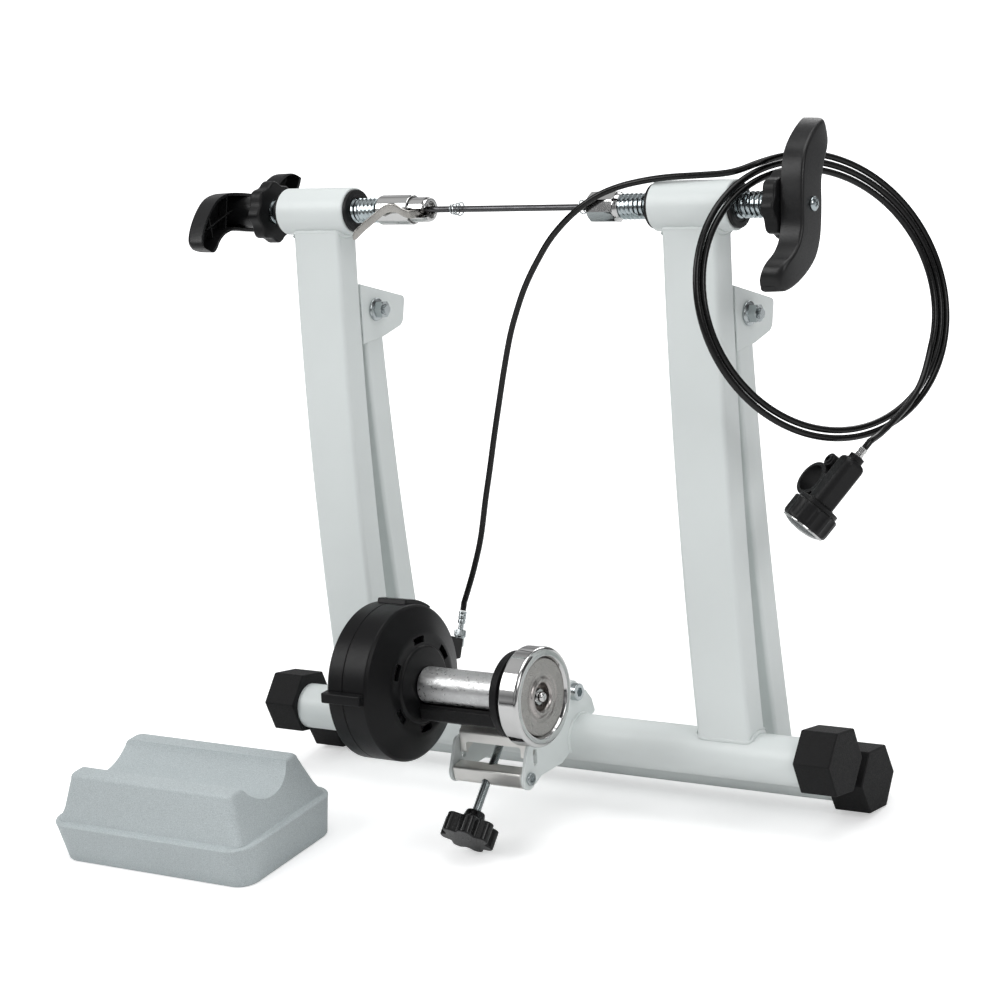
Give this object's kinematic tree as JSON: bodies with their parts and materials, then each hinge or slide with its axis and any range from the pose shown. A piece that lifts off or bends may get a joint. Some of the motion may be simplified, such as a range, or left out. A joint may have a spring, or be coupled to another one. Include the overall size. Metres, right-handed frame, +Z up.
{
  "type": "magnetic bike trainer",
  "caption": "Folding indoor trainer stand with axle clamps, a magnetic roller unit, a cable shifter and a front wheel block, shown folded.",
  "frame": {"origin": "on the floor, under the middle of the box round the stand and its wheel block, without the cord and shifter", "axes": "+X along the base tubes towards the flywheel side, +Y from the roller towards the folded rear legs, +Z up"},
  "size_m": [0.659, 0.4236, 0.5377],
  "materials": {
    "adjusting_screw": "bright zinc plating",
    "barrel_bolt_left": "bright zinc plating",
    "barrel_bolt_right": "bright zinc plating",
    "bush_inner_left": "black satin plastic",
    "bush_inner_right": "black satin plastic",
    "bush_outer_left": "black satin plastic",
    "bush_outer_right": "black satin plastic",
    "cable_adjuster": "bright zinc plating",
    "cable_coil": "glossy black jacket",
    "cable_run": "glossy black jacket",
    "dropout_cup_left": "polished chrome",
    "dropout_cup_right": "polished chrome",
    "fixed_magnet_plate": "dark coated magnets on steel",
    "flywheel": "polished chrome",
    "front_base_tube": "off-white powder coat",
    "front_foot_left": "matt black rubber",
    "front_foot_right": "matt black rubber",
    "front_upright_left": "off-white powder coat",
    "front_upright_right": "off-white powder coat",
    "handle_left": "black satin plastic",
    "handle_right": "black satin plastic",
    "hinge_bracket_left": "off-white powder coat",
    "hinge_bracket_right": "off-white powder coat",
    "lock_knob_left": "black satin plastic",
    "lock_knob_right": "black satin plastic",
    "moving_magnet_plate": "dark coated magnets on steel",
    "pivot_bolt_left": "bright zinc plating",
    "pivot_bolt_right": "bright zinc plating",
    "pivot_nut_left": "bright zinc plating",
    "pivot_nut_right": "bright zinc plating",
    "rear_base_tube": "off-white powder coat",
    "rear_foot_left": "matt black rubber",
    "rear_foot_right": "matt black rubber",
    "rear_leg_left": "off-white powder coat",
    "rear_leg_right": "off-white powder coat",
    "roller": "fine grained aluminium",
    "roller_axle": "bright zinc plating",
    "roller_carrier": "bright zinc plating",
    "roller_cradle": "black satin plastic",
    "rotor_disc": "fine grained aluminium",
    "screw_barrel": "bright zinc plating",
    "screw_pad": "bright zinc plating",
    "shifter_body": "black satin plastic",
    "shifter_dial": "black satin plastic",
    "skewer_lever": "polished chrome",
    "skewer_nut": "polished chrome",
    "skewer_rod": "polished chrome",
    "skewer_spring_left": "bright zinc plating",
    "skewer_spring_right": "bright zinc plating",
    "sleeve_left": "off-white powder coat",
    "sleeve_right": "off-white powder coat",
    "spindle_left": "bright zinc plating",
    "spindle_right": "bright zinc plating",
    "star_knob": "black satin plastic",
    "tilt_bolt": "bright zinc plating",
    "unit_back_cover": "black satin plastic",
    "unit_bracket_left": "off-white powder coat",
    "unit_bracket_right": "off-white powder coat",
    "unit_front_cover": "black satin plastic",
    "wheel_block": "grainy light grey plastic"
  },
  "bodies": {
    "front_frame": {"front_base_tube": "front_base_tube", "screw_barrel": "screw_barrel", "tilt_bolt": "tilt_bolt", "shifter_body": "shifter_body", "cable_run": "cable_run", "cable_coil": "cable_coil", "front_upright_left": "front_upright_left", "sleeve_left": "sleeve_left", "bush_inner_left": "bush_inner_left", "bush_outer_left": "bush_outer_left", "hinge_bracket_left": "hinge_bracket_left", "pivot_bolt_left": "pivot_bolt_left", "pivot_nut_left": "pivot_nut_left", "front_foot_left": "front_foot_left", "unit_bracket_left": "unit_bracket_left", "barrel_bolt_left": "barrel_bolt_left", "front_upright_right": "front_upright_right", "sleeve_right": "sleeve_right", "bush_inner_right": "bush_inner_right", "bush_outer_right": "bush_outer_right", "hinge_bracket_right": "hinge_bracket_right", "pivot_bolt_right": "pivot_bolt_right", "pivot_nut_right": "pivot_nut_right", "front_foot_right": "front_foot_right", "unit_bracket_right": "unit_bracket_right", "barrel_bolt_right": "barrel_bolt_right"},
    "rear_frame": {"rear_base_tube": "rear_base_tube", "rear_leg_left": "rear_leg_left", "rear_foot_left": "rear_foot_left", "rear_leg_right": "rear_leg_right", "rear_foot_right": "rear_foot_right"},
    "clamp_left": {"dropout_cup_left": "dropout_cup_left", "skewer_rod": "skewer_rod", "skewer_nut": "skewer_nut", "skewer_spring_left": "skewer_spring_left", "skewer_spring_right": "skewer_spring_right"},
    "spindle_axis_left": {"spindle_left": "spindle_left", "handle_left": "handle_left"},
    "lock_knob_axis_left": {"lock_knob_left": "lock_knob_left"},
    "lever_axis": {"skewer_lever": "skewer_lever"},
    "clamp_right": {"dropout_cup_right": "dropout_cup_right"},
    "spindle_axis_right": {"spindle_right": "spindle_right", "handle_right": "handle_right"},
    "lock_knob_axis_right": {"lock_knob_right": "lock_knob_right"},
    "roller_unit": {"roller_carrier": "roller_carrier", "roller_cradle": "roller_cradle", "unit_front_cover": "unit_front_cover", "unit_back_cover": "unit_back_cover", "fixed_magnet_plate": "fixed_magnet_plate", "cable_adjuster": "cable_adjuster"},
    "magnet_axis": {"moving_magnet_plate": "moving_magnet_plate"},
    "roller_shaft": {"roller": "roller", "roller_axle": "roller_axle", "flywheel": "flywheel", "rotor_disc": "rotor_disc"},
    "screw_slide": {"screw_pad": "screw_pad"},
    "screw_axis": {"adjusting_screw": "adjusting_screw", "star_knob": "star_knob"},
    "shifter_dial_axis": {"shifter_dial": "shifter_dial"},
    "block_lift": {"wheel_block": "wheel_block"}
  },
  "joints": [
    {"name": "rear_leg_fold", "type": "hinge", "parent": "front_frame", "child": "rear_frame", "pos_m": [0.03789, 0.11831, 0.39591], "axis": [1, 0, 0], "range_deg": [0, 62]},
    {"name": "clamp_slide_left", "type": "slide", "parent": "front_frame", "child": "clamp_left", "axis": [-1, 0, 0], "range_m": [0, 0.018]},
    {"name": "spindle_turn_left", "type": "hinge", "parent": "clamp_left", "child": "spindle_axis_left", "pos_m": [0.03789, 0.10111, 0.48336], "axis": [-1, 0, 0], "range_deg": [0, 1620.5]},
    {"name": "lock_knob_turn_left", "type": "hinge", "parent": "spindle_axis_left", "child": "lock_knob_axis_left", "pos_m": [0.03789, 0.10111, 0.48336], "axis": [1, 0, 0], "range_deg": [-2100, 830]},
    {"name": "skewer_lever_turn", "type": "hinge", "parent": "clamp_left", "child": "lever_axis", "pos_m": [-0.04011, 0.10111, 0.48336], "axis": [0, -0.0672, 0.9977], "range_deg": [0, 40]},
    {"name": "clamp_slide_right", "type": "slide", "parent": "front_frame", "child": "clamp_right", "axis": [1, 0, 0], "range_m": [0, 0.026]},
    {"name": "spindle_turn_right", "type": "hinge", "parent": "clamp_right", "child": "spindle_axis_right", "pos_m": [0.03789, 0.10111, 0.48336], "axis": [1, 0, 0], "range_deg": [0, 2340.5]},
    {"name": "lock_knob_turn_right", "type": "hinge", "parent": "spindle_axis_right", "child": "lock_knob_axis_right", "pos_m": [0.03789, 0.10111, 0.48336], "axis": [-1, 0, 0], "range_deg": [-440, 1300]},
    {"name": "roller_tilt", "type": "hinge", "parent": "front_frame", "child": "roller_unit", "pos_m": [0.03789, 0.05253, 0.09886], "axis": [-1, 0, 0], "range_deg": [-0.4, 8], "deforming": ["cable_run"]},
    {"name": "roller_spin", "type": "hinge", "parent": "roller_unit", "child": "roller_shaft", "pos_m": [0.03789, -0.04538, 0.1376], "axis": [1, 0, 0], "continuous": true},
    {"name": "magnet_turn", "type": "hinge", "parent": "roller_unit", "child": "magnet_axis", "pos_m": [0.03789, -0.04538, 0.1376], "axis": [1, 0, 0], "range_deg": [0, 40]},
    {"name": "screw_slide", "type": "slide", "parent": "front_frame", "child": "screw_slide", "axis": [0, 0.7526, 0.6585], "range_m": [-0.0002, 0.0017]},
    {"name": "screw_turn", "type": "hinge", "parent": "screw_slide", "child": "screw_axis", "pos_m": [0.03539, -0.02281, 0.0551], "axis": [0, 0.7526, 0.6585], "range_deg": [-24, 463]},
    {"name": "dial_turn", "type": "hinge", "parent": "front_frame", "child": "shifter_dial_axis", "pos_m": [0.32969, 0.10504, 0.29636], "axis": [-0.4829, -0.5764, -0.6592], "range_deg": [0, 160]},
    {"name": "block_lift", "type": "slide", "parent": "front_frame", "child": "block_lift", "axis": [0, 0, 1], "range_m": [0, 0.15]}
  ],
  "couplings": [
    {"joint": "spindle_turn_left", "follows": "clamp_slide_left", "rad_per_m": 1570.8},
    {"joint": "spindle_turn_right", "follows": "clamp_slide_right", "rad_per_m": 1570.8},
    {"joint": "screw_slide", "follows": "roller_tilt", "m_per_rad": 0.0115},
    {"joint": "screw_turn", "follows": "roller_tilt", "ratio": 57.8},
    {"joint": "magnet_turn", "follows": "dial_turn", "ratio": 0.25}
  ]
}
